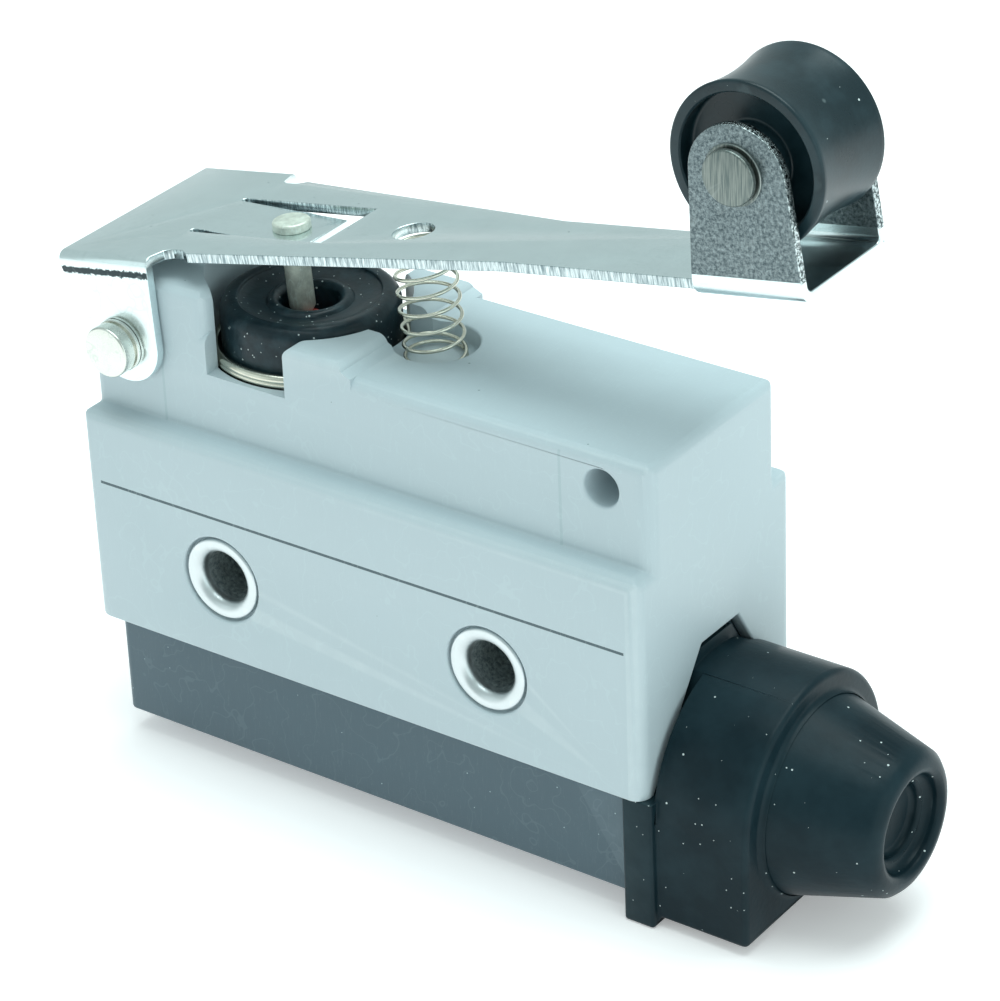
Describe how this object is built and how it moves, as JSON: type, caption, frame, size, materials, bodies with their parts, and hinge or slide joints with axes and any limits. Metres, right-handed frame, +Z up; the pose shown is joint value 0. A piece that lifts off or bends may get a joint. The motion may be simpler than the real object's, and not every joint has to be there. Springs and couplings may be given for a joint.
{
  "type": "limit switch",
  "caption": "Enclosed limit switch with a sprung hinge lever and roller, sealed plunger, snap-action contacts and a rubber cable entry.",
  "frame": {"origin": "midway between the axes of the two mounting holes, at mid thickness", "axes": "+X from the hinge end towards the cable entry, Y through the thickness along the mounting holes, +Z up towards the lever"},
  "size_m": [0.0711, 0.0224, 0.0674],
  "materials": {
    "housing_plastic": "satin moulded light grey",
    "base_plastic": "satin moulded slate grey",
    "seal_rubber": "matte moulded rubber",
    "cover_rubber": "moulded rubber with a dull sheen",
    "roller_plastic": "smooth moulded black",
    "lever_steel": "nickel-plated stamped sheet steel",
    "pin_steel": "nickel-plated turned steel",
    "ferrule_steel": "nickel-plated drawn steel",
    "ring_steel": "bright spring wire",
    "spring_steel": "bright spring wire",
    "rivet_steel": "plain steel",
    "screw_steel": "zinc-plated steel",
    "brass": "plain brass",
    "spring_bronze": "spring bronze strip",
    "silver": "silver alloy",
    "plunger_plastic": "smooth moulded plastic",
    "phenolic": "moulded insulating resin"
  },
  "bodies": {
    "case": {"housing": "housing_plastic", "base": "base_plastic", "base_gasket": "seal_rubber", "mounting_ferrules": "ferrule_steel", "seal_boot": "seal_rubber", "seal_ring": "ring_steel", "pivot_pin": "pin_steel", "return_spring": "spring_steel", "plunger_guide": "brass", "contact_block": "phenolic", "nc_contact": "silver", "no_contact": "silver", "nc_terminal": "brass", "no_terminal": "brass", "common_terminal": "brass", "blade_rivet": "rivet_steel", "terminal_screws": "screw_steel", "terminal_washers": "screw_steel", "terminal_cover": "cover_rubber"},
    "lever": {"lever_plate": "lever_steel", "plunger_pin": "pin_steel", "roller_axle": "pin_steel"},
    "roller": {"roller": "roller_plastic"},
    "plunger": {"inner_plunger": "plunger_plastic"},
    "blade": {"moving_blade": "spring_bronze", "snap_leaf": "spring_bronze", "moving_contact": "silver"}
  },
  "joints": [
    {"name": "lever_pivot", "type": "hinge", "parent": "case", "child": "lever", "pos_m": [-0.0219, 0, 0.01769], "axis": [0, 1, 0], "range_deg": [0, 10], "stiffness_Nm_per_rad": 0.3, "springref_deg": -11.46, "deforming": ["return_spring"]},
    {"name": "roller_spin", "type": "hinge", "parent": "lever", "child": "roller", "pos_m": [0.03193, 0, 0.04308], "axis": [0, 1, 0], "continuous": true},
    {"name": "plunger_slide", "type": "slide", "parent": "case", "child": "plunger", "axis": [0, 0, -1], "range_m": [0, 0.002]},
    {"name": "blade_turn", "type": "hinge", "parent": "case", "child": "blade", "pos_m": [0.0178, 0, 0.00975], "axis": [0, -1, 0], "range_deg": [0, 4]}
  ],
  "couplings": [
    {"joint": "plunger_slide", "follows": "lever_pivot", "m_per_rad": 0.0108},
    {"joint": "blade_turn", "follows": "lever_pivot", "ratio": 0.383}
  ]
}
